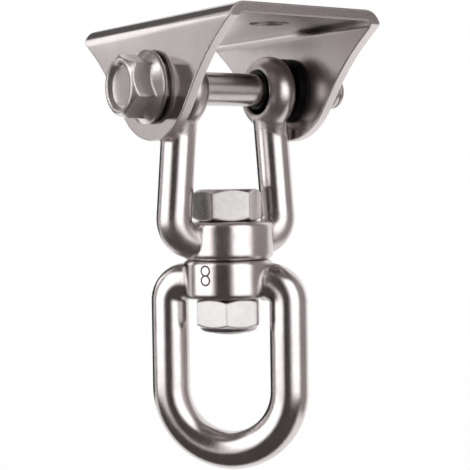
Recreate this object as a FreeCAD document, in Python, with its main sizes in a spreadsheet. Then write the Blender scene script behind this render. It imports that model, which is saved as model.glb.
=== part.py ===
import FreeCAD, Part
import math
import os

import Sketcher

"""Swivel ceiling hanger in millimetres.

A folded bracket screws to the ceiling. A forged fork swings on a cross bolt between its ears, and a forged
D-shaped eye swivels under the fork. The origin is the middle of the bracket's top face, which meets the
ceiling. X runs along the cross bolt, Y along the bracket, and everything hangs towards -Z.
"""

# Driving dimensions
SIZES = {
    # Bracket
    "plate_length": 58.6,
    "bracket_width": 36.6,
    "plate_thickness": 2.2,
    "bend_inside_radius": 1.5,
    "pivot_drop": 14.4,
    "ear_step": 0.6,
    "ear_flank_radius": 50.0,
    "ear_foot_radius": 16.0,
    "ear_foot_margin": 11.0,
    "screw_hole_diameter": 7.8,
    "screw_hole_spacing": 32.6,
    "plate_edge_round": 0.25,
    # Cross bolt and its nut
    "pivot_diameter": 7.0,
    "pivot_flats": 11.6,
    "pivot_head_height": 7.6,
    "pivot_flange_diameter": 15.2,
    "pivot_flange_rim": 0.8,
    "pivot_flange_height": 3.1,
    "pivot_flange_relief": 0.6,
    "pivot_seat_diameter": 12.0,
    "pivot_dish_diameter": 9.8,
    "pivot_dish_floor": 8.2,
    "pivot_dish_depth": 1.2,
    "pivot_nut_height": 6.6,
    "pivot_end_reach": 11.4,
    "pivot_head_angle": 11.0,
    # Bushes on the cross bolt
    "bush_wall": 0.6,
    "bush_flange_diameter": 13.8,
    "bush_flange_thickness": 1.4,
    # Fork
    "fork_eye_diameter": 15.7,
    "fork_eye_thickness": 6.6,
    "fork_eye_bore": 9.4,
    "fork_neck_start": 12.4,
    "fork_neck_end": 5.2,
    "fork_neck_width": 9.6,
    "fork_leg_diameter": 7.4,
    "fork_leg_splay": 2.55,
    "fork_bend_radius": 4.8,
    "fork_reach": 27.5,
    "fork_hub_diameter": 19.4,
    "fork_hub_height": 7.9,
    # Swivel bolt and its lock nut
    "swivel_diameter": 8.0,
    "swivel_flats": 13.0,
    "swivel_head_height": 6.8,
    "swivel_nut_hex_height": 6.3,
    "swivel_nut_height": 7.2,
    "swivel_nut_collar": 12.2,
    "swivel_end_reach": 0.4,
    "swivel_head_angle": 34.2,
    "swivel_nut_angle": 6.5,
    # Eye
    "eye_hub_diameter": 18.9,
    "eye_hub_height": 8.2,
    "eye_rod_diameter": 8.1,
    "eye_ring_width": 34.8,
    "eye_corner_radius": 4.3,
    "eye_shoulder_drop": 0.8,
    "eye_reach": 45.2,
    "eye_angle": 128.0,
    # Edges and clearances
    "hub_edge_round": 1.1,
    "bore_chamfer": 0.4,
    "thread_end_chamfer": 0.6,
    "running_clearance": 0.05,
    "fork_side_clearance": 0.3,
    "swivel_clearance": 0.1,
    "bolt_hole_clearance": 0.15,
}

# How far a cutting profile reaches past the metal that it removes
CUT_MARGIN = 2.0
# Gap between an ear's hollow flank and the arcs or corners beside it, which straight runs bridge
FLANK_GAP = 0.2
# How far a forged rod's end is buried in its hub
ROOT_DEPTH = 1.5
# Shortest straight piece of rod before a bend
ROOT_STRAIGHT = 0.5
# Half thickness of a neck where it lies inside the leg or the eye, as a share of theirs
NECK_INSET = 0.87
# Half width of a neck at its low end and halfway up, as a share of the leg's radius
NECK_TIP = 0.9
NECK_SWELL = 1.05
# Radius of the round over an eye's rim, as a share of the eye's half thickness
EYE_ROUND = 1.03
# How far an eye's flat faces stop short of its rim, as a share of that round
EYE_FACE_STEP = 0.62
# Slope of the usual 30 degree chamfer on hexagon corners, and of the steeper one on the flange head
HEX_CHAMFER_SLOPE = math.tan(math.radians(30))
HEAD_CHAMFER_SLOPE = math.tan(math.radians(45))
# Chamfer circle of a hexagon end, as a share of its width across flats
HEX_CHAMFER_SHARE = 0.94
# Two faces that meet at more than this angle make a sharp edge
SHARP_ANGLE = math.radians(25)
# A coordinate smaller than this lies on its axis
ON_AXIS = 1e-9


class Size:
    """A number together with the sheet formula that gives it."""

    def __init__(self, value, formula):
        self.value = value
        self.formula = formula

    def __add__(self, other):
        other = as_size(other)
        return Size(self.value + other.value, f"({self.formula} + {other.formula})")

    def __sub__(self, other):
        other = as_size(other)
        return Size(self.value - other.value, f"({self.formula} - {other.formula})")

    def __mul__(self, other):
        other = as_size(other)
        return Size(self.value * other.value, f"({self.formula} * {other.formula})")

    def __truediv__(self, other):
        other = as_size(other)
        return Size(self.value / other.value, f"({self.formula} / {other.formula})")

    def __neg__(self):
        return Size(-self.value, f"(0 - {self.formula})")


def as_size(value):
    """The value itself if it is a Size, or a plain number wrapped as one."""
    if isinstance(value, Size):
        return value
    return Size(float(value), f"{float(value):.9f}")


def smaller(a, b):
    """The lesser of two sizes."""
    return Size(min(a.value, b.value), f"min({a.formula}; {b.formula})")


def hypotenuse(a, b):
    """Length of the diagonal of two sizes at right angles."""
    return Size(math.hypot(a.value, b.value), f"hypot({a.formula}; {b.formula})")


def third_side(diagonal, side):
    """Other short side of a right-angled triangle."""
    value = math.sqrt(diagonal.value ** 2 - side.value ** 2)
    return Size(value, f"sqrt({diagonal.formula} ^ 2 - {side.formula} ^ 2)")


doc = FreeCAD.newDocument("swivel_ceiling_hanger")
sheet = doc.addObject("Spreadsheet::Sheet", "Sizes")
for row, (alias, number) in enumerate(SIZES.items(), start=1):
    sheet.set(f"A{row}", alias)
    sheet.set(f"B{row}", str(number))
    sheet.setAlias(f"B{row}", alias)
doc.recompute()


def size(alias):
    """A driving dimension from the sheet."""
    return Size(float(sheet.get(alias)), f"Sizes.{alias}")


# Sketch and feature helpers

def new_body(label):
    """An empty body whose label is the node's name."""
    body = doc.addObject("PartDesign::Body", label)
    body.Label = label
    return body


def origin_plane(body, role):
    """One of the body's own origin planes."""
    return next(item for item in body.Origin.OriginFeatures if item.Role == role)


def new_sketch(body, name, role, lift=None):
    """A sketch on an origin plane, lifted along the plane's normal."""
    sketch = body.newObject("Sketcher::SketchObject", name)
    sketch.AttachmentSupport = [(origin_plane(body, role), "")]
    sketch.MapMode = "FlatFace"
    if lift is not None:
        sketch.setExpression("AttachmentOffset.Base.z", lift.formula)
    return sketch


def bind(sketch, kind, first, second, amount):
    """Add a dimension that follows a sheet formula."""
    index = sketch.addConstraint(Sketcher.Constraint(kind, *first, *second, amount.value))
    sketch.setExpression(f"Constraints[{index}]", amount.formula)


def pin_point(sketch, geometry, end, x, y):
    """Tie a point of a sketch to its place, measured from the sketch's origin."""
    for kind, axis, amount in (("DistanceX", -2, as_size(x)), ("DistanceY", -1, as_size(y))):
        if abs(amount.value) < ON_AXIS:
            sketch.addConstraint(Sketcher.Constraint("PointOnObject", geometry, end, axis))
        elif amount.value > 0:
            bind(sketch, kind, (-1, 1), (geometry, end), amount)
        else:
            bind(sketch, kind, (geometry, end), (-1, 1), -amount)


def add_circle(sketch, x, y, radius):
    """A circle with its centre and radius tied to the sheet."""
    centre = FreeCAD.Vector(as_size(x).value, as_size(y).value, 0)
    circle = sketch.addGeometry(Part.Circle(centre, FreeCAD.Vector(0, 0, 1), radius.value))
    pin_point(sketch, circle, 3, x, y)
    bind(sketch, "Radius", (circle,), (), radius)


def add_ellipse(sketch, x, half_x, half_y):
    """An ellipse on the sketch's first axis, longer along the second axis."""
    centre = FreeCAD.Vector(x.value, 0, 0)
    top = FreeCAD.Vector(x.value, half_y.value, 0)
    side = FreeCAD.Vector(x.value + half_x.value, 0, 0)
    ellipse = sketch.addGeometry(Part.Ellipse(top, side, centre))
    sketch.exposeInternalGeometry(ellipse)
    major, minor = ellipse + 1, ellipse + 2
    pin_point(sketch, ellipse, 3, x, 0)
    sketch.addConstraint(Sketcher.Constraint("Vertical", major))
    bind(sketch, "Distance", (major,), (), half_y * 2)
    bind(sketch, "Distance", (minor,), (), half_x * 2)


def corner(x, y):
    """A sharp corner of a chain."""
    return as_size(x), as_size(y), as_size(0), 1


def left_arc(x, y, radius):
    """An arc of a chain that turns left, given by its centre and radius."""
    return as_size(x), as_size(y), radius, 1


def right_arc(x, y, radius):
    """An arc of a chain that turns right, given by its centre and radius."""
    return as_size(x), as_size(y), radius, -1


def tangent_points(start, finish):
    """Ends of the straight line that leaves one stop of a chain and meets the next."""
    (x1, y1, r1, turn1), (x2, y2, r2, turn2) = start, finish
    dx, dy = x2.value - x1.value, y2.value - y1.value
    offset = turn2 * r2.value - turn1 * r1.value
    heading = math.atan2(dy, dx) - math.asin(offset / math.hypot(dx, dy))
    left = FreeCAD.Vector(-math.sin(heading), math.cos(heading), 0)
    leaves = FreeCAD.Vector(x1.value, y1.value, 0) - left * (turn1 * r1.value)
    meets = FreeCAD.Vector(x2.value, y2.value, 0) - left * (turn2 * r2.value)
    return leaves, meets


def add_chain(sketch, stops, closed=True):
    """Draw straight lines through corners and round arcs, tangent to every arc."""
    count = len(stops)
    spans = count if closed else count - 1
    ends = [tangent_points(stops[i], stops[(i + 1) % count]) for i in range(spans)]
    lines = [sketch.addGeometry(Part.LineSegment(*pair)) for pair in ends]
    for i, (x, y, radius, turn) in enumerate(stops):
        before = lines[i - 1] if closed or i > 0 else None
        after = lines[i] if i < spans else None
        if radius.value == 0:
            if before is not None and after is not None:
                sketch.addConstraint(Sketcher.Constraint("Coincident", before, 2, after, 1))
            if after is not None:
                pin_point(sketch, after, 1, x, y)
            else:
                pin_point(sketch, before, 2, x, y)
            continue
        centre = FreeCAD.Vector(x.value, y.value, 0)
        arrives, leaves = ends[i - 1][1] - centre, ends[i][0] - centre
        angles = [math.atan2(arrives.y, arrives.x), math.atan2(leaves.y, leaves.x)]
        # An arc is stored counter-clockwise, so a right turn runs from its second end to its first
        first, last = (1, 2) if turn > 0 else (2, 1)
        if turn < 0:
            angles.reverse()
        circle = Part.Circle(centre, FreeCAD.Vector(0, 0, 1), radius.value)
        arc = sketch.addGeometry(Part.ArcOfCircle(circle, *angles))
        sketch.addConstraint(Sketcher.Constraint("Tangent", before, 2, arc, first))
        sketch.addConstraint(Sketcher.Constraint("Tangent", arc, last, after, 1))
        pin_point(sketch, arc, 3, x, y)
        bind(sketch, "Radius", (arc,), (), radius)
    if sketch.solve() != 0:
        raise RuntimeError(f"{sketch.Name} doesn't solve")


def add_pad(body, sketch, length, symmetric=False):
    """Extrude a sketch into the body."""
    pad = body.newObject("PartDesign::Pad", sketch.Name + "_pad")
    pad.Profile = sketch
    pad.setExpression("Length", length.formula)
    pad.SideType = "Symmetric" if symmetric else "One side"
    return pad


def cut_through(body, sketch):
    """Cut a sketch through the whole body, both ways."""
    pocket = body.newObject("PartDesign::Pocket", sketch.Name + "_cut")
    pocket.Profile = sketch
    pocket.Type = "ThroughAll"
    pocket.SideType = "Symmetric"
    return pocket


def add_turned(body, sketch, axis="V_Axis", kind="Revolution"):
    """Turn a sketch about one of its own axes, adding metal or, as a Groove, cutting it."""
    turned = body.newObject("PartDesign::" + kind, sketch.Name + "_turned")
    turned.Profile = sketch
    turned.ReferenceAxis = (sketch, [axis])
    turned.Angle = 360
    turned.Refine = False
    return turned


def add_swept(body, profile, path):
    """Sweep a round section along a path."""
    swept = body.newObject("PartDesign::AdditivePipe", path.Name + "_swept")
    swept.Profile = profile
    swept.Spine = path
    swept.Refine = False
    return swept


def sharp_edges(shape):
    """Names of the edges where two faces meet at a clear angle."""
    names = []
    for index, edge in enumerate(shape.Edges, start=1):
        middle = edge.valueAt((edge.FirstParameter + edge.LastParameter) / 2)
        faces = shape.ancestorsOfType(edge, Part.Face)
        normals = [face.normalAt(*face.Surface.parameter(middle)) for face in faces]
        if len(normals) == 2 and normals[0].getAngle(normals[1]) > SHARP_ANGLE:
            names.append(f"Edge{index}")
    return names


def place(body, z, x=None, rotation=FreeCAD.Rotation()):
    """Put a finished body where it belongs, following the sheet."""
    body.Placement = FreeCAD.Placement(FreeCAD.Vector(), rotation)
    body.setExpression("Placement.Base.z", z.formula)
    if x is not None:
        body.setExpression("Placement.Base.x", x.formula)


def hexagon_reach(flats):
    """Distance from a hexagon's middle to its corners."""
    return flats / math.sqrt(3)


def add_hexagon(body, name, flats, height):
    """A hexagon prism standing on the body's base plane."""
    sketch = new_sketch(body, name, "XY_Plane")
    reach = hexagon_reach(flats)
    right_half = [(reach / 2, -flats / 2), (reach, 0), (reach / 2, flats / 2)]
    left_half = [(-reach / 2, flats / 2), (-reach, 0), (-reach / 2, -flats / 2)]
    add_chain(sketch, [corner(x, y) for x, y in right_half + left_half])
    return add_pad(body, sketch, height)


def chamfer_hexagon(body, name, flats, level, upper=True, slope=HEX_CHAMFER_SLOPE):
    """Turn the corners off one end of a hexagon."""
    inner = flats * HEX_CHAMFER_SHARE / 2
    outer = hexagon_reach(flats) + CUT_MARGIN
    drop = (outer - inner) * slope
    sketch = new_sketch(body, name, "XZ_Plane")
    side = level - drop if upper else level + drop
    add_chain(sketch, [corner(inner, level), corner(outer, level), corner(outer, side)])
    return add_turned(body, sketch, kind="Groove")


def bore_along_axis(body, name, radius, low, high):
    """A round hole along the body's own Z axis."""
    sketch = new_sketch(body, name, "XZ_Plane")
    bottom, top = low - CUT_MARGIN, high + CUT_MARGIN
    add_chain(sketch, [corner(0, top), corner(radius, top), corner(radius, bottom), corner(0, bottom)])
    return add_turned(body, sketch, kind="Groove")


def rounded_hub(body, name, radius, top, bottom, edge):
    """A round hub about the Z axis with rounded rims."""
    sketch = new_sketch(body, name, "XZ_Plane")
    add_chain(sketch, [
        corner(0, top),
        right_arc(radius - edge, top - edge, edge),
        right_arc(radius - edge, bottom + edge, edge),
        corner(0, bottom),
    ])
    return add_turned(body, sketch)


# Sizes that several pieces share

thickness = size("plate_thickness")
bend_outside = thickness + size("bend_inside_radius")
half_width = size("bracket_width") / 2
half_length = size("plate_length") / 2
pivot_drop = size("pivot_drop")
pivot_radius = size("pivot_diameter") / 2
running = size("running_clearance")
ear_face = half_width - thickness
bush_face = ear_face - running
fork_eye_outer = bush_face - size("bush_flange_thickness") - size("fork_side_clearance")
fork_eye_inner = fork_eye_outer - size("fork_eye_thickness")
bush_inside = pivot_radius + running
bush_outside = bush_inside + size("bush_wall")
# The fork hangs by the top of its bores, so its bores sit below the bolt's axis
hang = size("fork_eye_bore") / 2 - bush_outside - running
fork_level = -(pivot_drop + hang)
fork_hub_top = -size("fork_reach")
fork_hub_bottom = fork_hub_top - size("fork_hub_height")
swivel_radius = size("swivel_diameter") / 2
swivel_bore = swivel_radius + size("swivel_clearance")
head_seat = fork_level + fork_hub_top + running
eye_level = fork_level + fork_hub_bottom - size("swivel_clearance")
nut_seat = eye_level - size("eye_hub_height")


def make_bracket():
    """Folded plate: flat top with two screw holes, and a tapered ear bent down on each side."""
    body = new_body("ceiling_bracket")
    depth = pivot_drop + size("ear_foot_margin")
    inside = size("bend_inside_radius")

    section = new_sketch(body, "bracket_section", "XZ_Plane")
    add_chain(section, [
        corner(-half_width, -depth),
        right_arc(bend_outside - half_width, -bend_outside, bend_outside),
        right_arc(half_width - bend_outside, -bend_outside, bend_outside),
        corner(half_width, -depth),
        corner(ear_face, -depth),
        left_arc(ear_face - inside, -bend_outside, inside),
        left_arc(inside - ear_face, -bend_outside, inside),
        corner(-ear_face, -depth),
    ])
    add_pad(body, section, size("plate_length"), symmetric=True)

    # Each ear narrows from just under the plate, along a hollow flank, to a round foot below the bolt.
    # The flank's centre is found from its distances to the ear's top corner and to the foot's centre.
    taper = new_sketch(body, "ear_taper", "YZ_Plane")
    foot, flank = size("ear_foot_radius"), size("ear_flank_radius")
    top, foot_level = -thickness - size("ear_step"), foot - depth
    rise = top - foot_level
    span = hypotenuse(half_length, rise)
    to_corner, to_foot = flank + FLANK_GAP, foot + flank + FLANK_GAP
    along = (to_foot * to_foot - to_corner * to_corner + span * span) / (span * 2)
    aside = third_side(to_foot, along)
    flank_out = (along * half_length + aside * rise) / span
    flank_level = foot_level + (along * rise - aside * half_length) / span
    beyond, below = half_length + CUT_MARGIN, -depth - CUT_MARGIN
    add_chain(taper, [
        corner(half_length, top),
        left_arc(flank_out, flank_level, flank),
        right_arc(0, foot_level, foot),
        left_arc(-flank_out, flank_level, flank),
        corner(-half_length, top),
        corner(-beyond, top),
        corner(-beyond, below),
        corner(beyond, below),
        corner(beyond, top),
    ])
    cut_through(body, taper)

    bolt_holes = new_sketch(body, "ear_bolt_holes", "YZ_Plane")
    add_circle(bolt_holes, 0, -pivot_drop, pivot_radius + size("bolt_hole_clearance"))
    cut_through(body, bolt_holes)

    screw_holes = new_sketch(body, "ceiling_screw_holes", "XY_Plane")
    for side in (-1, 1):
        add_circle(screw_holes, 0, size("screw_hole_spacing") * side / 2, size("screw_hole_diameter") / 2)
    cut_through(body, screw_holes)
    doc.recompute()

    cut_plate = body.Tip
    rounding = body.newObject("PartDesign::Fillet", "bracket_edges")
    rounding.Base = (cut_plate, sharp_edges(cut_plate.Shape))
    rounding.setExpression("Radius", size("plate_edge_round").formula)
    return body


def make_pivot_bolt():
    """Cross bolt with an indented hexagon flange head, seated on the left ear."""
    body = new_body("pivot_bolt")
    flats, top = size("pivot_flats"), size("pivot_head_height")
    end = -(size("bracket_width") + size("pivot_end_reach"))
    turned = new_sketch(body, "pivot_bolt_profile", "XZ_Plane")
    chamfer = size("thread_end_chamfer")
    # The flange's rim stands clear of the ear and only a narrower seat touches it
    rim, relief = size("pivot_flange_diameter") / 2, size("pivot_flange_relief")
    add_chain(turned, [
        corner(0, size("pivot_flange_height")),
        corner(flats / 2, size("pivot_flange_height")),
        corner(rim, relief + size("pivot_flange_rim")),
        corner(rim, relief),
        corner(size("pivot_seat_diameter") / 2, relief),
        corner(size("pivot_seat_diameter") / 2, 0),
        corner(pivot_radius, 0),
        corner(pivot_radius, end + chamfer),
        corner(pivot_radius - chamfer, end),
        corner(0, end),
    ])
    add_turned(body, turned)
    add_hexagon(body, "pivot_bolt_hexagon", flats, top)
    chamfer_hexagon(body, "pivot_bolt_corners", flats, top, slope=HEAD_CHAMFER_SLOPE)
    dish = new_sketch(body, "pivot_bolt_dish", "XZ_Plane")
    floor = top - size("pivot_dish_depth")
    add_chain(dish, [
        corner(0, top + CUT_MARGIN),
        corner(size("pivot_dish_diameter") / 2, top + CUT_MARGIN),
        corner(size("pivot_dish_diameter") / 2, top),
        corner(size("pivot_dish_floor") / 2, floor),
        corner(0, floor),
    ])
    add_turned(body, dish, kind="Groove")
    turn = FreeCAD.Rotation(FreeCAD.Vector(0, 0, 1), size("pivot_head_angle").value)
    to_left = FreeCAD.Rotation(FreeCAD.Vector(0, 1, 0), -90)
    place(body, x=-half_width, z=-pivot_drop, rotation=to_left * turn)
    return body


def make_pivot_nut():
    """Hexagon flange nut on the right ear."""
    body = new_body("pivot_nut")
    flats, top = size("pivot_flats"), size("pivot_nut_height")
    flange = new_sketch(body, "pivot_nut_flange", "XZ_Plane")
    add_chain(flange, [
        corner(0, size("pivot_flange_height")),
        corner(flats / 2, size("pivot_flange_height")),
        corner(size("pivot_flange_diameter") / 2, size("pivot_flange_rim")),
        corner(size("pivot_flange_diameter") / 2, 0),
        corner(0, 0),
    ])
    add_turned(body, flange)
    add_hexagon(body, "pivot_nut_hexagon", flats, top)
    chamfer_hexagon(body, "pivot_nut_corners", flats, top)
    bore_along_axis(body, "pivot_nut_bore", pivot_radius + running, as_size(0), top)
    to_right = FreeCAD.Rotation(FreeCAD.Vector(0, 1, 0), 90)
    place(body, x=half_width, z=-pivot_drop, rotation=to_right)
    return body


def make_bush(label, side):
    """Flanged bush on the cross bolt, between an ear and an eye of the fork."""
    body = new_body(label)
    length = bush_face - fork_eye_inner
    profile = new_sketch(body, label + "_profile", "XZ_Plane")
    add_chain(profile, [
        corner(bush_inside, 0),
        corner(size("bush_flange_diameter") / 2, 0),
        corner(size("bush_flange_diameter") / 2, size("bush_flange_thickness")),
        corner(bush_outside, size("bush_flange_thickness")),
        corner(bush_outside, length),
        corner(bush_inside, length),
    ])
    add_turned(body, profile)
    inwards = FreeCAD.Rotation(FreeCAD.Vector(0, 1, 0), -90 * side)
    place(body, x=bush_face * side, z=-pivot_drop, rotation=inwards)
    return body


def make_fork():
    """One forging: a round hub, two round legs that lean together, and an eye on each."""
    body = new_body("swivel_fork")
    rounded_hub(body, "fork_hub", size("fork_hub_diameter") / 2, fork_hub_top, fork_hub_bottom,
                size("hub_edge_round"))

    leg_radius = size("fork_leg_diameter") / 2
    eye_x = (fork_eye_inner + fork_eye_outer) / 2
    level = (fork_hub_top + fork_hub_bottom) / 2
    bend = size("fork_bend_radius")
    # Sideways step of a leg's centre line from its eye down to the hub's middle
    lean = size("fork_leg_splay")
    bend_x = eye_x + lean * (level + bend) / level + bend * hypotenuse(lean, level) / level
    root = smaller(size("fork_hub_diameter") / 2 - ROOT_DEPTH, bend_x - ROOT_STRAIGHT)

    section = new_sketch(body, "fork_leg_section", "YZ_Plane", lift=root)
    add_circle(section, 0, level, leg_radius)
    path = new_sketch(body, "fork_leg", "XZ_Plane")
    add_chain(path, [corner(root, level), left_arc(bend_x, level + bend, bend), corner(eye_x, 0)], closed=False)
    leg = add_swept(body, section, path)

    # The leg widens into its eye through a neck that starts inside the leg and ends inside the eye
    eye_radius = size("fork_eye_diameter") / 2
    half_thick = size("fork_eye_thickness") / 2
    inset = leg_radius * NECK_INSET
    start, end = size("fork_neck_start"), size("fork_neck_end")
    neck = []
    for name, below, half_x, half_y in (
            ("fork_neck_low", start, inset, leg_radius * NECK_TIP),
            ("fork_neck_middle", (start + end) / 2, inset, leg_radius * NECK_SWELL),
            ("fork_neck_high", end, half_thick * NECK_INSET, size("fork_neck_width") / 2)):
        oval = new_sketch(body, name, "XY_Plane", lift=-below)
        add_ellipse(oval, eye_x - lean * below / level, half_x, half_y)
        neck.append(oval)
    flare = body.newObject("PartDesign::AdditiveLoft", "fork_neck")
    flare.Profile = neck[0]
    flare.Sections = neck[1:]
    flare.Refine = False

    bore, rim = size("fork_eye_bore") / 2, half_thick * EYE_ROUND
    face = eye_radius - rim * EYE_FACE_STEP
    ring = new_sketch(body, "fork_eye", "XZ_Plane")
    add_chain(ring, [
        corner(fork_eye_inner, bore / 2),
        corner(fork_eye_inner, face),
        right_arc(eye_x, eye_radius - rim, rim),
        corner(fork_eye_outer, face),
        corner(fork_eye_outer, bore / 2),
    ])
    eye = add_turned(body, ring, axis="H_Axis")

    # Each eye is bored, and spot faced on both sides so that a bush's flange runs on a flat
    hole = new_sketch(body, "fork_eye_bore", "XZ_Plane")
    chamfer = size("bore_chamfer")
    near, far = fork_eye_inner - CUT_MARGIN, fork_eye_outer + CUT_MARGIN
    spot = size("bush_flange_diameter") / 2 + hang + size("fork_side_clearance")
    add_chain(hole, [
        corner(near, 0),
        corner(near, spot),
        corner(fork_eye_inner, spot),
        corner(fork_eye_inner, bore + chamfer),
        corner(fork_eye_inner + chamfer, bore),
        corner(fork_eye_outer - chamfer, bore),
        corner(fork_eye_outer, bore + chamfer),
        corner(fork_eye_outer, spot),
        corner(far, spot),
        corner(far, 0),
    ])
    bored = add_turned(body, hole, axis="H_Axis", kind="Groove")

    other_side = body.newObject("PartDesign::Mirrored", "fork_other_side")
    other_side.Originals = [leg, flare, eye, bored]
    other_side.MirrorPlane = (origin_plane(body, "YZ_Plane"), [""])
    body.Tip = other_side
    bore_along_axis(body, "fork_hub_bore", swivel_bore, fork_hub_bottom, fork_hub_top)
    place(body, z=fork_level)
    return body


def make_eye():
    """One forging: a round hub and a D-shaped ring of round rod."""
    body = new_body("swivel_eye")
    hub_radius, hub_bottom = size("eye_hub_diameter") / 2, -size("eye_hub_height")
    rounded_hub(body, "eye_hub", hub_radius, as_size(0), hub_bottom, size("hub_edge_round"))
    rod = size("eye_rod_diameter") / 2
    half_ring = size("eye_ring_width") / 2 - rod
    shoulder = -(size("eye_shoulder_drop") + rod)
    bend = size("eye_corner_radius")
    foot = half_ring + rod - size("eye_reach")
    root = smaller(hub_radius - ROOT_DEPTH, half_ring - bend - ROOT_STRAIGHT)
    section = new_sketch(body, "eye_rod_section", "YZ_Plane", lift=root)
    add_circle(section, 0, shoulder, rod)
    path = new_sketch(body, "eye_ring", "XZ_Plane")
    add_chain(path, [
        corner(root, shoulder),
        right_arc(half_ring - bend, shoulder - bend, bend),
        right_arc(0, foot, half_ring),
        right_arc(bend - half_ring, shoulder - bend, bend),
        corner(-root, shoulder),
    ], closed=False)
    add_swept(body, section, path)
    bore_along_axis(body, "eye_hub_bore", swivel_bore, hub_bottom, as_size(0))
    turn = FreeCAD.Rotation(FreeCAD.Vector(0, 0, 1), size("eye_angle").value)
    place(body, z=eye_level, rotation=turn)
    return body


def make_swivel_bolt():
    """Hexagon bolt down through both hubs, with its head on the fork."""
    body = new_body("swivel_bolt")
    top = size("swivel_head_height")
    end = nut_seat - size("swivel_nut_height") - size("swivel_end_reach") - head_seat
    chamfer = size("thread_end_chamfer")
    shank = new_sketch(body, "swivel_bolt_shank", "XZ_Plane")
    add_chain(shank, [
        corner(0, top / 2),
        corner(swivel_radius, top / 2),
        corner(swivel_radius, end + chamfer),
        corner(swivel_radius - chamfer, end),
        corner(0, end),
    ])
    add_turned(body, shank)
    add_hexagon(body, "swivel_bolt_hexagon", size("swivel_flats"), top)
    chamfer_hexagon(body, "swivel_bolt_corners", size("swivel_flats"), top)
    chamfer_hexagon(body, "swivel_bolt_seat_corners", size("swivel_flats"), as_size(0), upper=False)
    turn = FreeCAD.Rotation(FreeCAD.Vector(0, 0, 1), size("swivel_head_angle").value)
    place(body, z=head_seat, rotation=turn)
    return body


def make_swivel_nut():
    """Lock nut under the eye's hub, with a round collar at its lower end."""
    body = new_body("swivel_nut")
    flats, hex_height = size("swivel_flats"), size("swivel_nut_hex_height")
    height, collar = size("swivel_nut_height"), size("swivel_nut_collar") / 2
    edge = height - hex_height
    turned = new_sketch(body, "swivel_nut_collar", "XZ_Plane")
    add_chain(turned, [
        corner(0, 0),
        corner(collar, 0),
        left_arc(collar - edge, hex_height, edge),
        corner(0, height),
    ])
    add_turned(body, turned)
    add_hexagon(body, "swivel_nut_hexagon", flats, hex_height)
    chamfer_hexagon(body, "swivel_nut_low_corners", flats, hex_height)
    chamfer_hexagon(body, "swivel_nut_high_corners", flats, as_size(0), upper=False)
    bore_along_axis(body, "swivel_nut_bore", swivel_radius + running, as_size(0), height)
    turn = FreeCAD.Rotation(FreeCAD.Vector(0, 0, 1), size("swivel_nut_angle").value)
    upside_down = FreeCAD.Rotation(FreeCAD.Vector(1, 0, 0), 180)
    place(body, z=nut_seat, rotation=upside_down * turn)
    return body


pieces = [
    make_bracket(),
    make_pivot_bolt(),
    make_pivot_nut(),
    make_bush("left_bush", -1),
    make_bush("right_bush", 1),
    make_fork(),
    make_eye(),
    make_swivel_bolt(),
    make_swivel_nut(),
]
doc.recompute()

failed = [item.Name for item in doc.Objects if "Invalid" in item.State or "Error" in item.State]
if failed:
    raise RuntimeError("features failed: " + ", ".join(failed))
for piece in pieces:
    if piece.Shape.isNull() or not piece.Shape.isValid() or len(piece.Shape.Solids) != 1:
        raise RuntimeError(f"{piece.Label} isn't one sound solid")

os.makedirs("parts", exist_ok=True)
for piece in pieces:
    piece.Shape.exportStep(os.path.join("parts", piece.Label + ".step"))
    box = piece.Shape.BoundBox
    print(f"{piece.Label}: {piece.Shape.Volume:.1f} mm3, "
          f"x {box.XMin:.2f} to {box.XMax:.2f}, y {box.YMin:.2f} to {box.YMax:.2f}, "
          f"z {box.ZMin:.2f} to {box.ZMax:.2f}")
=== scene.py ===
import math

import bpy
from mathutils import Matrix, Vector


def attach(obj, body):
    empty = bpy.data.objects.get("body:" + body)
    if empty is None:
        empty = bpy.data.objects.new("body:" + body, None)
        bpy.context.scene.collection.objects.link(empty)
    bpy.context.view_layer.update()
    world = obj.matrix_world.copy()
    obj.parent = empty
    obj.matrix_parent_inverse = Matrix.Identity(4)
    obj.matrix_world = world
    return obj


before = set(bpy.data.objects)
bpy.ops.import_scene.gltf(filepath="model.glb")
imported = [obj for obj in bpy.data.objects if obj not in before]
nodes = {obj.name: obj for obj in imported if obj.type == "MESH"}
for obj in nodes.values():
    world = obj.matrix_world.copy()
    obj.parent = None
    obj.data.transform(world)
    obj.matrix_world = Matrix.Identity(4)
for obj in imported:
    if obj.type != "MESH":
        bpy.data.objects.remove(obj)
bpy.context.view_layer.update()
scene = bpy.context.scene
scene.view_settings.view_transform = "Standard"

# Camera, in metres and degrees, with the image taken as square
CAMERA_PLACE = Vector((-0.1531, -0.2330, -0.0326))
CAMERA_AIM = Vector((0.0005, -0.0021, -0.0453))
CAMERA_ROLL = -0.8
CAMERA_LENS = 100.2
CAMERA_NEAR = 0.01
SENSOR = 36.0

# Studio, in metres and degrees: the lamps and cards stand round the object's middle
MIDDLE = Vector((0.0, 0.0, -0.05))
LAMP_DISTANCE = 0.6
CARD_DISTANCE = 0.75
LOW_CARD_WIDTH, LOW_CARD_DEPTH = 1.3, 2.2
LOW_CARD_TURN = -25
LOW_CARD_OUT, LOW_CARD_DROP = 0.6, 0.3
TOP_CARD_WIDTH, TOP_CARD_RISE = 1.2, 0.7
FLOOR_WIDTH, FLOOR_LEVEL = 6.0, -0.7
# Share of the floor that looks plain white; the rest is paint that takes the shadow
FLOOR_WHITE = 0.985
# Brightness of the world as the light that it gives and as the background that is seen
WORLD_LIGHT, WORLD_SEEN = 0.6, 1.0

# Places on the bracket: tops of the ears' flanks, and how far from the middle the inside reaches
FLANK_START = -0.0028
EAR_INSIDE = 0.0163
# The cross bolt: its axis, radius, the inner end of its head, and the thread that shows past its nut
PIVOT_LEVEL = -0.0144
BOLT_RADIUS = 0.0035
HEAD_START = -0.0183
THREAD_START, THREAD_END = 0.0253, 0.0290
THREAD_PITCH = 0.00125
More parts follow.
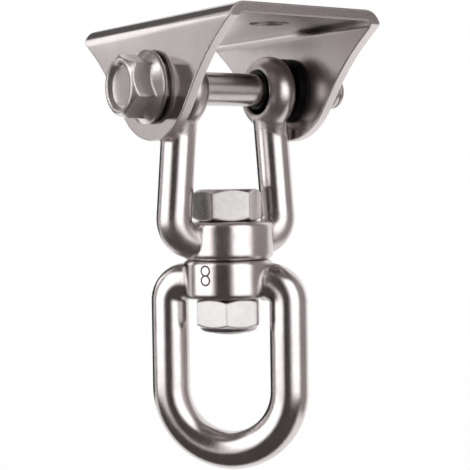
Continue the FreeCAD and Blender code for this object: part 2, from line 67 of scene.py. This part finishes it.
# Where the fork's rough skin fades: under its eyes, over its lower bends, and at the sides of its hub
EYE_SKIN_LOW, EYE_SKIN_HIGH = -0.026, -0.021
BEND_SKIN_LOW, BEND_SKIN_HIGH = -0.044, -0.039
HUB_SKIN_IN, HUB_SKIN_OUT = 0.0088, 0.0098
# The eye's hub and the numeral on its side, whose bearing is in degrees
EYE_HUB_RADIUS = 0.00945
NUMERAL_LEVEL = -0.0534
NUMERAL_BEARING = 206.4

# A face counts as cut, top, underside or bolt end when it looks this far along Y, Z, Z or X
CUT_FACING, TOP_FACING, UNDER_FACING, END_FACING = 0.1, 0.99, -0.7, -0.9

# Colours, each as its darkest and its palest tone
ROLLED_PLATE = (0.45, 0.415, 0.41), (0.48, 0.445, 0.44)
PLATE_TOP = (0.34, 0.315, 0.31), (0.40, 0.375, 0.37)
# The sheared ends' tone is painted shade, darker than the plate itself
PLATE_END_PAINTED_SHADE = (0.24, 0.21, 0.205), (0.32, 0.285, 0.28)
# The underside, the ears' inner walls and the ear flanks are painted paler than the plate, as painted light
PLATE_UNDERSIDE_PAINTED_LIGHT = (0.74, 0.69, 0.68), (0.79, 0.74, 0.73)
EAR_WALL_PAINTED_LIGHT = (0.56, 0.525, 0.52), (0.60, 0.565, 0.56)
EAR_FLANK_PAINTED_LIGHT = (0.80, 0.74, 0.73), (0.90, 0.835, 0.825)
FORK_STEEL = (0.65, 0.60, 0.59), (0.72, 0.67, 0.66)
EYE_STEEL = (0.65, 0.60, 0.59), (0.72, 0.68, 0.67)
BOLT_SHANK = (0.60, 0.56, 0.55), (0.64, 0.60, 0.59)
# The head's sides are painted paler as painted light, and its end darker as painted shade
HEAD_SIDE_PAINTED_LIGHT = (0.82, 0.78, 0.77), (0.92, 0.88, 0.87)
HEAD_END_PAINTED_SHADE = (0.32, 0.30, 0.295), (0.54, 0.51, 0.50)
SATIN_STEEL = (0.46, 0.44, 0.435), (0.49, 0.47, 0.465)
BLACK_NYLON = (0.001, 0.001, 0.001), (0.004, 0.004, 0.004)
STAMPED_LINE = (0.10, 0.09, 0.09), (0.2, 0.18, 0.18)
# Paler tone of the painted highlight lines along rounded edges
EDGE_HIGHLIGHT_PAINT = (0.90, 0.83, 0.82)

# Roughness, from the best to the worst polished spots or as one level
PLATE_POLISH = 0.11, 0.15
FORK_POLISH = 0.14, 0.20
EYE_POLISH = 0.13, 0.19
SHANK_POLISH = 0.21, 0.24
SATIN_POLISH = 0.17, 0.21
NYLON_POLISH = 0.3, 0.4
STAMP_POLISH = 0.35, 0.5
DULL_PLATE = 0.45
BOLT_HEAD = 0.27
# What the bracket's inside and the fork's forged skin add to it, and the hub's share of that skin
INSIDE_DULLING = 0.11
FORGED_SKIN = 0.16
HUB_SKIN = 0.45

# Strength of the fine pits in each steel, and their depth in metres
PLATE_PITS, FORK_PITS, EYE_PITS, SHANK_PITS, SATIN_PITS = 0.015, 0.08, 0.45, 0.012, 0.02
PIT_DEPTH = 0.00005

# Rounds over edges and widths of the painted highlight lines along them, in metres, and how much of a line
# shows
PLATE_ROUND, FORGING_ROUND, FASTENER_ROUND = 0.0003, 0.0009, 0.0006
PLATE_LINE, FASTENER_LINE = 0.0005, 0.0006
PLATE_EDGE_HIGHLIGHT, HEAD_EDGE_HIGHLIGHT, SATIN_EDGE_HIGHLIGHT = 0.8, 0.9, 0.8
# Cosines of the turn at an edge where its line is full and where it ends
LINE_FULL, LINE_END = 0.90, 0.995

# Noise scales, in spots per metre
CLOUDS, POLISH_MARKS, PITS = 140, 900, 5000
PLATE_GRAIN, HEAD_GRAIN, NYLON_GRAIN, STAMP_GRAIN = 3000, 4000, 2500, 4000

# A mix node's sockets for its two ends and for its result, by what it mixes
MIX_SOCKETS = {"FLOAT": (2, 3, 0), "RGBA": (6, 7, 2)}


# Node helpers

def new_material(name):
    """A material, its node tree and its Principled shader."""
    material = bpy.data.materials.new(name)
    material.use_nodes = True
    tree = material.node_tree
    return material, tree, tree.nodes["Principled BSDF"]


def add_node(tree, kind, **values):
    """A node whose named inputs are set to plain values."""
    node = tree.nodes.new(kind)
    for key, value in values.items():
        node.inputs[key.replace("_", " ")].default_value = value
    return node


def feed(tree, socket, value):
    """Link a node's value to a socket, or set a plain colour or number there."""
    if isinstance(value, bpy.types.NodeSocket):
        tree.links.new(value, socket)
    elif isinstance(value, tuple):
        socket.default_value = (*value, 1.0)
    else:
        socket.default_value = value


def fed(shader, name):
    """The node value that is linked to one of the shader's sockets."""
    return shader.inputs[name].links[0].from_socket


def calculate(tree, operation, first, second=0):
    """The result of a sum, product or comparison of two values, or of a change to one."""
    node = tree.nodes.new("ShaderNodeMath")
    node.operation = operation
    feed(tree, node.inputs[0], first)
    feed(tree, node.inputs[1], second)
    return node.outputs["Value"]


def mix(tree, kind, share, first, second):
    """A number or colour between two, which are plain or come from nodes."""
    node = tree.nodes.new("ShaderNodeMix")
    node.data_type = kind
    low, high, result = MIX_SOCKETS[kind]
    tree.links.new(share, node.inputs["Factor"])
    feed(tree, node.inputs[low], first)
    feed(tree, node.inputs[high], second)
    return node.outputs[result]


def blend(tree, share, first, second):
    """A colour between two colours."""
    return mix(tree, "RGBA", share, first, second)


def mix_values(tree, share, first, second):
    """A number between two numbers."""
    return mix(tree, "FLOAT", share, first, second)


def surface(tree, output):
    """The point or the direction of the surface, in the frame's own metres and axes."""
    return tree.nodes.new("ShaderNodeTexCoord").outputs[output]


def split(tree, vector):
    """The X, Y and Z of a vector."""
    node = tree.nodes.new("ShaderNodeSeparateXYZ")
    tree.links.new(vector, node.inputs["Vector"])
    return node.outputs["X"], node.outputs["Y"], node.outputs["Z"]


def noise(tree, point, scale, detail=2.0):
    """Noise over the surface, about one spot per 1/scale metres."""
    node = add_node(tree, "ShaderNodeTexNoise", Scale=scale, Detail=detail)
    tree.links.new(point, node.inputs["Vector"])
    return node.outputs["Fac"]


def spread(tree, value, low, high, start=0.35, end=0.65):
    """Stretch part of a value's range, by default the middle of a noise, to run between two numbers."""
    node = add_node(tree, "ShaderNodeMapRange", From_Min=start, From_Max=end, To_Min=low, To_Max=high)
    tree.links.new(value, node.inputs["Value"])
    return node.outputs["Result"]


def bump(tree, height, strength, depth, under):
    """A bump that lies over another surface direction."""
    node = add_node(tree, "ShaderNodeBump", Strength=strength, Distance=depth)
    tree.links.new(height, node.inputs["Height"])
    tree.links.new(under, node.inputs["Normal"])
    return node.outputs["Normal"]


def soft_edges(tree, radius):
    """Surface direction with small rounds over edges and creases."""
    return add_node(tree, "ShaderNodeBevel", Radius=radius).outputs["Normal"]


def edge_lines(tree, width):
    """1 along sharp edges and 0 away from them."""
    turn = tree.nodes.new("ShaderNodeVectorMath")
    turn.operation = "DOT_PRODUCT"
    tree.links.new(soft_edges(tree, width), turn.inputs[0])
    tree.links.new(tree.nodes.new("ShaderNodeNewGeometry").outputs["True Normal"], turn.inputs[1])
    return spread(tree, turn.outputs["Value"], 1, 0, start=LINE_FULL, end=LINE_END)


def paint_edge_highlights(tree, colour, width, share):
    """A colour with painted highlight lines of paler metal along the edges."""
    line = calculate(tree, "MULTIPLY", edge_lines(tree, width), share)
    return blend(tree, line, colour, EDGE_HIGHLIGHT_PAINT)


# Materials

def steel(name, tones, polish, pits, edge_round):
    """Stainless steel with clouded colour, uneven polish and fine pits."""
    material, tree, shader = new_material(name)
    point = surface(tree, "Object")
    clouds = spread(tree, noise(tree, point, CLOUDS, detail=4.0), 0, 1)
    marks = spread(tree, noise(tree, point, POLISH_MARKS, detail=3.0), *polish)
    shader.inputs["Metallic"].default_value = 1.0
    tree.links.new(blend(tree, clouds, *tones), shader.inputs["Base Color"])
    tree.links.new(marks, shader.inputs["Roughness"])
    relief = bump(tree, noise(tree, point, PITS), pits, PIT_DEPTH, soft_edges(tree, edge_round))
    tree.links.new(relief, shader.inputs["Normal"])
    return material, tree, shader


def folded_steel():
    """Rolled plate with a dull top, sheared ends darkened as painted shade, ear flanks, ear walls and
    underside paled as painted light, and painted highlight lines along its edges.
    """
    material, tree, shader = steel("folded_plate", ROLLED_PLATE, PLATE_POLISH, PLATE_PITS, PLATE_ROUND)
    rolled_colour, rolled_polish = fed(shader, "Base Color"), fed(shader, "Roughness")
    point = surface(tree, "Object")
    grain = spread(tree, noise(tree, point, PLATE_GRAIN, detail=3.0), 0, 1)

    across, _, level = split(tree, point)
    _, facing_y, facing_z = split(tree, surface(tree, "Normal"))
    cut = calculate(tree, "GREATER_THAN", calculate(tree, "ABSOLUTE", facing_y), CUT_FACING)
    top = calculate(tree, "GREATER_THAN", facing_z, TOP_FACING)
    under = calculate(tree, "LESS_THAN", facing_z, UNDER_FACING)
    flank = calculate(tree, "LESS_THAN", level, FLANK_START)
    inside = calculate(tree, "LESS_THAN", calculate(tree, "ABSOLUTE", across), EAR_INSIDE)

    # The inside and the underside are painted paler here, as painted light
    inside_painted_light = blend(tree, under, blend(tree, grain, *EAR_WALL_PAINTED_LIGHT), blend(tree, grain, *PLATE_UNDERSIDE_PAINTED_LIGHT))
    side_colour = blend(tree, inside, rolled_colour, inside_painted_light)
    sheet_colour = blend(tree, top, side_colour, blend(tree, grain, *PLATE_TOP))
    # The sheared ends are painted darker as painted shade, and the ear flanks paler as painted light
    cut_colour = blend(tree, flank, blend(tree, grain, *PLATE_END_PAINTED_SHADE), blend(tree, grain, *EAR_FLANK_PAINTED_LIGHT))
    bare_colour = blend(tree, cut, sheet_colour, cut_colour)
    # The pale lines along the plate's edges are painted highlights
    tree.links.new(paint_edge_highlights(tree, bare_colour, PLATE_LINE, PLATE_EDGE_HIGHLIGHT), shader.inputs["Base Color"])

    inside_polish = calculate(tree, "ADD", rolled_polish, INSIDE_DULLING)
    sheet_polish = mix_values(tree, inside, rolled_polish, inside_polish)
    dull = calculate(tree, "MAXIMUM", cut, top)
    tree.links.new(mix_values(tree, dull, sheet_polish, DULL_PLATE), shader.inputs["Roughness"])
    return material


def forged_fork():
    """Polished rod whose eyes and lower bends keep a rougher skin, and whose hub keeps some of it."""
    material, tree, shader = steel("forged_fork", FORK_STEEL, FORK_POLISH, FORK_PITS, FORGING_ROUND)
    rod_polish = fed(shader, "Roughness")
    across, _, level = split(tree, surface(tree, "Object"))
    near_eye = spread(tree, level, 0, 1, start=EYE_SKIN_LOW, end=EYE_SKIN_HIGH)
    low_down = spread(tree, level, 1, 0, start=BEND_SKIN_LOW, end=BEND_SKIN_HIGH)
    sideways = calculate(tree, "ABSOLUTE", across)
    past_hub = spread(tree, sideways, HUB_SKIN, 1, start=HUB_SKIN_IN, end=HUB_SKIN_OUT)
    near_bend = calculate(tree, "MULTIPLY", past_hub, low_down)
    rough_polish = calculate(tree, "ADD", rod_polish, FORGED_SKIN)
    skin = mix_values(tree, calculate(tree, "MAXIMUM", near_eye, near_bend), rod_polish, rough_polish)
    tree.links.new(skin, shader.inputs["Roughness"])
    return material


def forged_eye():
    """Polished rod with fine pits all over."""
    return steel("forged_eye", EYE_STEEL, EYE_POLISH, EYE_PITS, FORGING_ROUND)[0]


def cross_bolt_steel():
    """Bolt steel with a rougher head whose sides are painted paler as painted light, whose end is painted
    darker as painted shade, and whose edges carry painted highlight lines.
    """
    material, tree, shader = steel("cross_bolt", BOLT_SHANK, SHANK_POLISH, SHANK_PITS, FASTENER_ROUND)
    shank_colour, shank_polish = fed(shader, "Base Color"), fed(shader, "Roughness")
    point = surface(tree, "Object")
    head = calculate(tree, "LESS_THAN", split(tree, point)[0], HEAD_START)
    end = calculate(tree, "LESS_THAN", split(tree, surface(tree, "Normal"))[0], END_FACING)
    grain = noise(tree, point, HEAD_GRAIN)
    # Head sides painted paler as painted light, and the end face darker as painted shade
    bare_colour = blend(tree, end, blend(tree, grain, *HEAD_SIDE_PAINTED_LIGHT), blend(tree, grain, *HEAD_END_PAINTED_SHADE))
    # The pale lines along the head's edges are painted highlights
    head_colour = paint_edge_highlights(tree, bare_colour, FASTENER_LINE, HEAD_EDGE_HIGHLIGHT)
    tree.links.new(blend(tree, head, shank_colour, head_colour), shader.inputs["Base Color"])
    tree.links.new(mix_values(tree, head, shank_polish, BOLT_HEAD), shader.inputs["Roughness"])
    return material


def satin_fasteners():
    """Satin bolts and nuts with painted highlight lines along their edges."""
    material, tree, shader = steel("satin_fasteners", SATIN_STEEL, SATIN_POLISH, SATIN_PITS, FASTENER_ROUND)
    # The pale lines along the edges are painted highlights
    colour = paint_edge_highlights(tree, fed(shader, "Base Color"), FASTENER_LINE, SATIN_EDGE_HIGHLIGHT)
    tree.links.new(colour, shader.inputs["Base Color"])
    return material


def black_nylon():
    """Moulded black nylon with a slight sheen."""
    material, tree, shader = new_material("black_nylon")
    grain = noise(tree, surface(tree, "Object"), NYLON_GRAIN, detail=3.0)
    tree.links.new(blend(tree, grain, *BLACK_NYLON), shader.inputs["Base Color"])
    tree.links.new(spread(tree, grain, *NYLON_POLISH), shader.inputs["Roughness"])
    shader.inputs["Specular IOR Level"].default_value = 0.25
    return material


def stamped_steel():
    """Dark line of a stamped numeral."""
    material, tree, shader = new_material("stamped_line")
    grain = noise(tree, surface(tree, "Object"), STAMP_GRAIN)
    shader.inputs["Metallic"].default_value = 1.0
    tree.links.new(blend(tree, grain, *STAMPED_LINE), shader.inputs["Base Color"])
    tree.links.new(spread(tree, grain, *STAMP_POLISH), shader.inputs["Roughness"])
    return material


def dress(names, material):
    """Give CAD nodes a material."""
    for name in names:
        nodes[name].data.materials.clear()
        nodes[name].data.materials.append(material)


satin_steel = satin_fasteners()
dress(["ceiling_bracket"], folded_steel())
dress(["swivel_fork"], forged_fork())
dress(["swivel_eye"], forged_eye())
dress(["pivot_bolt"], cross_bolt_steel())
dress(["pivot_nut", "swivel_bolt", "swivel_nut"], satin_steel)
dress(["left_bush", "right_bush"], black_nylon())


# Pieces that ride on the solids

def add_piece(name, points, faces, material, body):
    """A smooth mesh that rides on a body and takes the given material."""
    mesh = bpy.data.meshes.new(name)
    mesh.from_pydata(points, [], faces)
    mesh.shade_smooth()
    mesh.materials.append(material)
    piece = bpy.data.objects.new(name, mesh)
    scene.collection.objects.link(piece)
    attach(piece, body)


def add_thread():
    """The thread's ridge on the cross bolt's end, a helix that fades out at both ends."""
    around, height, sunk = 48, 0.00026, 0.0001
    # Part of a turn over which the ridge rises to its full height
    rise = 0.25
    # Cross-section of the ridge: offset along the bolt as a share of the pitch, and 1 at the crest
    section = [(-0.42, 0), (-0.08, 1), (0.08, 1), (0.42, 0)]
    count = len(section)
    steps = round((THREAD_END - THREAD_START) / THREAD_PITCH * around)
    points, faces = [], []
    for i in range(steps + 1):
        turn = 2 * math.pi * i / around
        middle = THREAD_START + THREAD_PITCH * i / around
        fade = min(1.0, i / around / rise, (steps - i) / around / rise)
        for offset, crest in section:
            reach = BOLT_RADIUS - sunk + crest * fade * height
            y, z = reach * math.cos(turn), PIVOT_LEVEL + reach * math.sin(turn)
            points.append((middle + offset * THREAD_PITCH, y, z))
    for i in range(steps):
        for j in range(count):
            beside = (j + 1) % count
            faces.append([i * count + j, i * count + beside, (i + 1) * count + beside, (i + 1) * count + j])
    faces.append(list(range(count)))
    faces.append([steps * count + j for j in reversed(range(count))])
    add_piece("bolt_thread", points, faces, satin_steel, "bracket")


def add_numeral():
    """A stamped 8: two thin rings, one above the other, lying in the hub's round side."""
    ring_radius, line = 0.0010, 0.0002
    around, across = 40, 8
    points, faces = [], []
    for level in (NUMERAL_LEVEL + ring_radius, NUMERAL_LEVEL - ring_radius):
        first = len(points)
        for i in range(around):
            turn = 2 * math.pi * i / around
            for j in range(across):
                roll = 2 * math.pi * j / across
                reach = ring_radius + line * math.cos(roll)
                bearing = math.radians(NUMERAL_BEARING) + reach * math.cos(turn) / EYE_HUB_RADIUS
                # The line is half as deep as it is wide
                out = EYE_HUB_RADIUS + line * math.sin(roll) / 2
                x, y = out * math.cos(bearing), out * math.sin(bearing)
                points.append((x, y, level + reach * math.sin(turn)))
                ahead, beside = (i + 1) % around, (j + 1) % across
                faces.append([first + k for k in (i * across + j, ahead * across + j,
                                                  ahead * across + beside, i * across + beside)])
    add_piece("size_numeral", points, faces, stamped_steel(), "eye")


add_thread()
add_numeral()


# Camera

def add_camera():
    """Camera at the photograph's viewing angle."""
    data = bpy.data.cameras.new("camera")
    data.sensor_fit = "HORIZONTAL"
    data.sensor_width = SENSOR
    data.lens = CAMERA_LENS
    data.clip_start = CAMERA_NEAR
    camera = bpy.data.objects.new("camera", data)
    scene.collection.objects.link(camera)
    turn = (CAMERA_AIM - CAMERA_PLACE).to_track_quat("-Z", "Y").to_matrix().to_4x4()
    roll = Matrix.Rotation(math.radians(CAMERA_ROLL), 4, "Z")
    camera.matrix_world = Matrix.Translation(CAMERA_PLACE) @ turn @ roll
    scene.camera = camera


add_camera()


# Studio: upright panels round the object, given by the angles that they fill as seen from its middle,
# sideways from the camera (right is positive) and up from the level

def look_out(sideways):
    """Bearing and level direction away from the object, at an angle sideways from the camera."""
    to_camera = CAMERA_PLACE - MIDDLE
    bearing = math.atan2(to_camera.y, to_camera.x) + math.radians(sideways)
    return bearing, Vector((math.cos(bearing), math.sin(bearing), 0.0))


def panel_place(left, right, low, high, distance):
    """Place, width and height of an upright panel."""
    _, outwards = look_out((left + right) / 2)
    bottom, top = (distance * math.tan(math.radians(level)) for level in (low, high))
    width = 2 * distance * math.tan(math.radians(right - left) / 2)
    middle = MIDDLE + outwards * distance + Vector((0.0, 0.0, (bottom + top) / 2))
    facing = (-outwards).to_track_quat("-Z", "Y").to_matrix().to_4x4()
    return Matrix.Translation(middle) @ facing, width, top - bottom


def add_lamp(name, left, right, low, high, radiance):
    """A softbox that faces the object."""
    place, width, height = panel_place(left, right, low, high, LAMP_DISTANCE)
    data = bpy.data.lights.new(name, "AREA")
    data.shape = "RECTANGLE"
    data.size, data.size_y = width, height
    data.energy = radiance * math.pi * width * height
    lamp = bpy.data.objects.new(name, data)
    scene.collection.objects.link(lamp)
    lamp.matrix_world = place


def card_paint(name, shade):
    """Plain paint that shows at its own brightness."""
    material, _, shader = new_material(name)
    shader.inputs["Base Color"].default_value = (0.0, 0.0, 0.0, 1.0)
    shader.inputs["Specular IOR Level"].default_value = 0.0
    shader.inputs["Emission Color"].default_value = (*shade, 1.0)
    shader.inputs["Emission Strength"].default_value = 1.0
    return material


def add_sheet(name, width, height, material, place):
    """A flat rectangle of the studio."""
    mesh = bpy.data.meshes.new(name)
    x, y = width / 2, height / 2
    mesh.from_pydata([(-x, -y, 0.0), (x, -y, 0.0), (x, y, 0.0), (-x, y, 0.0)], [], [(0, 1, 2, 3)])
    mesh.materials.append(material)
    sheet = bpy.data.objects.new(name, mesh)
    scene.collection.objects.link(sheet)
    sheet.matrix_world = place
    return sheet


def add_card(name, width, height, shade, place):
    """A card that shows in the metal alone."""
    card = add_sheet(name, width, height, card_paint(name + "_paint", shade), place)
    card.visible_camera = False
    card.visible_diffuse = False
    card.visible_shadow = False


def add_upright_card(name, left, right, low, high, shade):
    """A card that stands beside the object."""
    place, width, height = panel_place(left, right, low, high, CARD_DISTANCE)
    add_card(name, width, height, shade, place)


def add_low_card(shade):
    """A card that lies in front, below the object."""
    bearing, outwards = look_out(LOW_CARD_TURN)
    middle = MIDDLE + outwards * LOW_CARD_OUT - Vector((0.0, 0.0, LOW_CARD_DROP))
    place = Matrix.Translation(middle) @ Matrix.Rotation(bearing, 4, "Z")
    add_card("low_card", LOW_CARD_WIDTH, LOW_CARD_DEPTH, shade, place)


def add_top_card(shade):
    """A card overhead."""
    place = Matrix.Translation(MIDDLE + Vector((0.0, 0.0, TOP_CARD_RISE)))
    add_card("top_card", TOP_CARD_WIDTH, TOP_CARD_WIDTH, shade, place)


def seen_ray(tree):
    """1 for rays that the camera sees, also in metal or through glass."""
    path = tree.nodes.new("ShaderNodeLightPath")
    seen = path.outputs["Is Camera Ray"]
    for name in ("Is Glossy Ray", "Is Transmission Ray"):
        seen = calculate(tree, "MAXIMUM", seen, path.outputs[name])
    return seen


def floor_paint():
    """Pale paint that looks white, with a small share of plain paint to keep the shadow."""
    material, tree, shader = new_material("floor_paint")
    shader.inputs["Base Color"].default_value = (0.9, 0.9, 0.9, 1.0)
    shader.inputs["Roughness"].default_value = 0.9
    white = add_node(tree, "ShaderNodeEmission", Color=(1.0, 1.0, 1.0, 1.0), Strength=1.0)
    cover = tree.nodes.new("ShaderNodeMixShader")
    tree.links.new(calculate(tree, "MULTIPLY", seen_ray(tree), FLOOR_WHITE), cover.inputs["Fac"])
    tree.links.new(shader.outputs["BSDF"], cover.inputs[1])
    tree.links.new(white.outputs["Emission"], cover.inputs[2])
    tree.links.new(cover.outputs["Shader"], tree.nodes["Material Output"].inputs["Surface"])
    return material


def set_world():
    """White background, with a softer level for the light that it gives."""
    world = bpy.data.worlds.new("studio")
    scene.world = world
    world.use_nodes = True
    tree = world.node_tree
    ground = tree.nodes["Background"]
    ground.inputs["Color"].default_value = (1.0, 1.0, 1.0, 1.0)
    strength = add_node(tree, "ShaderNodeMapRange", To_Min=WORLD_LIGHT, To_Max=WORLD_SEEN)
    tree.links.new(seen_ray(tree), strength.inputs["Value"])
    tree.links.new(strength.outputs["Result"], ground.inputs["Strength"])


add_lamp("left_softbox", left=-94, right=-38, low=-16, high=50, radiance=0.9)
add_lamp("right_softbox", left=11, right=62, low=-16, high=50, radiance=0.9)
add_lamp("left_strip", left=-131, right=-117, low=10, high=29, radiance=1.0)
add_upright_card("front_card", left=-40, right=13, low=-35, high=60, shade=(0.07, 0.06, 0.06))
add_upright_card("left_pale_card", left=-122, right=-109, low=-30, high=32, shade=(1.0, 0.98, 0.98))
add_upright_card("left_gap_card", left=-109, right=-96, low=-30, high=32, shade=(0.03, 0.025, 0.025))
add_upright_card("left_black_card", left=-165, right=-122, low=-16, high=12, shade=(0.02, 0.02, 0.02))
add_upright_card("left_dark_card", left=-165, right=-129, low=12, high=60, shade=(0.16, 0.15, 0.15))
add_upright_card("right_grey_card", left=60, right=122, low=-30, high=60, shade=(0.34, 0.31, 0.31))
add_low_card(shade=(0.08, 0.07, 0.07))
add_top_card(shade=(0.16, 0.14, 0.14))
add_sheet("floor", FLOOR_WIDTH, FLOOR_WIDTH, floor_paint(), Matrix.Translation((0.0, 0.0, FLOOR_LEVEL)))
set_world()
